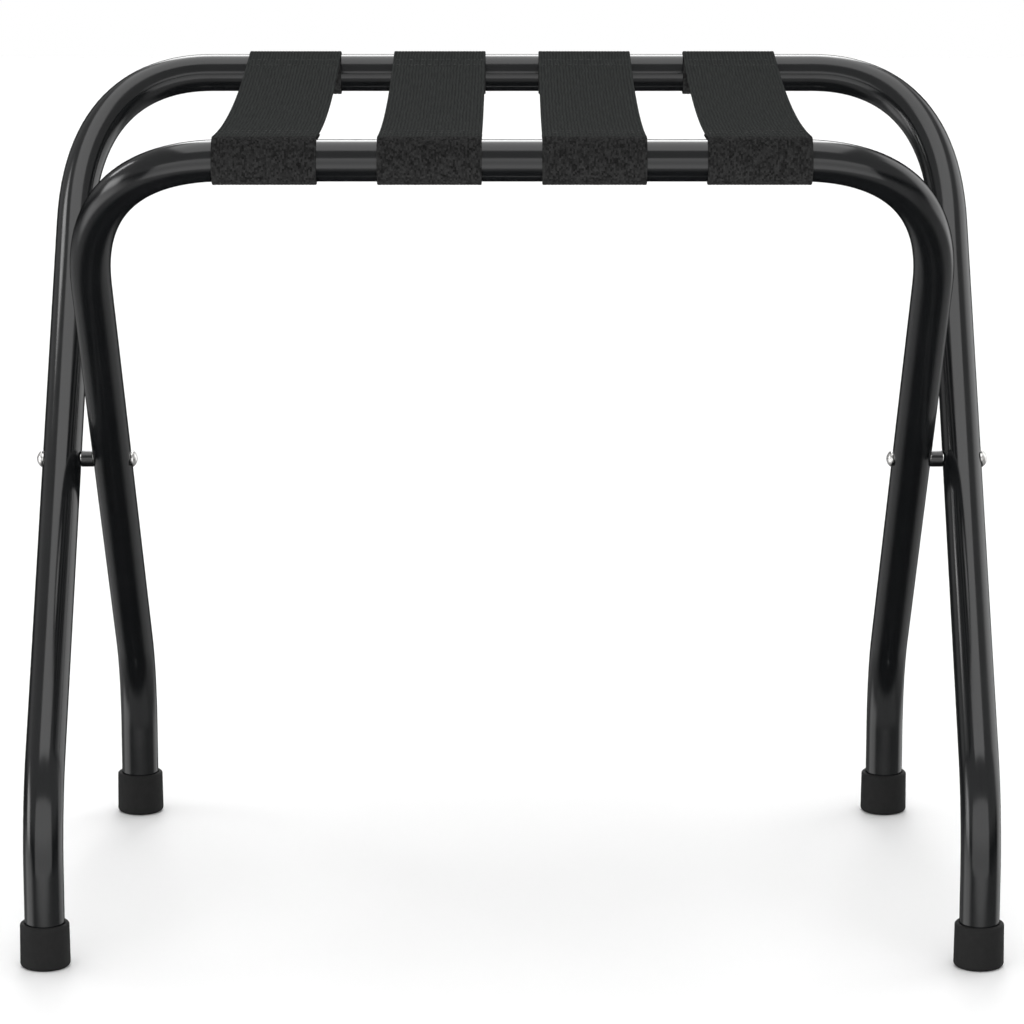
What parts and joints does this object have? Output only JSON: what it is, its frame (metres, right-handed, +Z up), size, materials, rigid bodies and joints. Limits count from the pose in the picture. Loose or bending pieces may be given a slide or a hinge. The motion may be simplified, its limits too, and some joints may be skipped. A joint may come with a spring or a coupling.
{
  "type": "folding luggage rack",
  "caption": "Folding luggage rack: crossed bent-tube steel frames on riveted pivots, webbing straps between the top bars, and rubber foot caps.",
  "frame": {"origin": "on the floor, under the middle of the open rack", "axes": "+Z up, +X along the top bars, +Y to the back, where the wider frame's bar is"},
  "size_m": [0.55, 0.399, 0.4702],
  "materials": {
    "powder_coated_tube": "satin black powder coat",
    "strap_webbing": "charcoal ribbed woven webbing",
    "foot_rubber": "matte black moulded rubber",
    "rivet_steel": "bright nickel plate",
    "washer_steel": "plain zinc-plated steel",
    "spacer_nylon": "gloss black nylon"
  },
  "bodies": {
    "inner_frame": {"inner_frame_tube": "powder_coated_tube", "foot_cap_rear_left": "foot_rubber", "foot_washer_rear_left": "washer_steel", "foot_cap_rear_right": "foot_rubber", "foot_washer_rear_right": "washer_steel", "pivot_rivet_left": "rivet_steel", "rivet_cap_left": "rivet_steel", "pivot_spacer_left": "spacer_nylon", "pivot_rivet_right": "rivet_steel", "rivet_cap_right": "rivet_steel", "pivot_spacer_right": "spacer_nylon"},
    "outer_frame": {"outer_frame_tube": "powder_coated_tube", "foot_cap_front_left": "foot_rubber", "foot_washer_front_left": "washer_steel", "foot_cap_front_right": "foot_rubber", "foot_washer_front_right": "washer_steel"},
    "front_straps": {"strap_1_front_half": "strap_webbing", "strap_2_front_half": "strap_webbing", "strap_3_front_half": "strap_webbing", "strap_4_front_half": "strap_webbing"},
    "back_straps": {"strap_1_back_half": "strap_webbing", "strap_2_back_half": "strap_webbing", "strap_3_back_half": "strap_webbing", "strap_4_back_half": "strap_webbing"}
  },
  "joints": [
    {"name": "fold", "type": "hinge", "parent": "inner_frame", "child": "outer_frame", "pos_m": [0, 0, 0.2562], "axis": [1, 0, 0], "range_deg": [0, 79.8], "deforming": ["strap_1_front_half", "strap_2_front_half", "strap_3_front_half", "strap_4_front_half", "strap_1_back_half", "strap_2_back_half", "strap_3_back_half", "strap_4_back_half"]},
    {"name": "front_strap_swing", "type": "hinge", "parent": "inner_frame", "child": "front_straps", "pos_m": [0, -0.1865, 0.4572], "axis": [1, 0, 0], "range_deg": [-48, 0]},
    {"name": "back_strap_swing", "type": "hinge", "parent": "outer_frame", "child": "back_straps", "pos_m": [0, 0.1865, 0.4572], "axis": [1, 0, 0], "range_deg": [0, 48]}
  ],
  "couplings": [
    {"joint": "front_strap_swing", "follows": "fold", "ratio": -0.5927},
    {"joint": "back_strap_swing", "follows": "fold", "ratio": 0.5927}
  ]
}
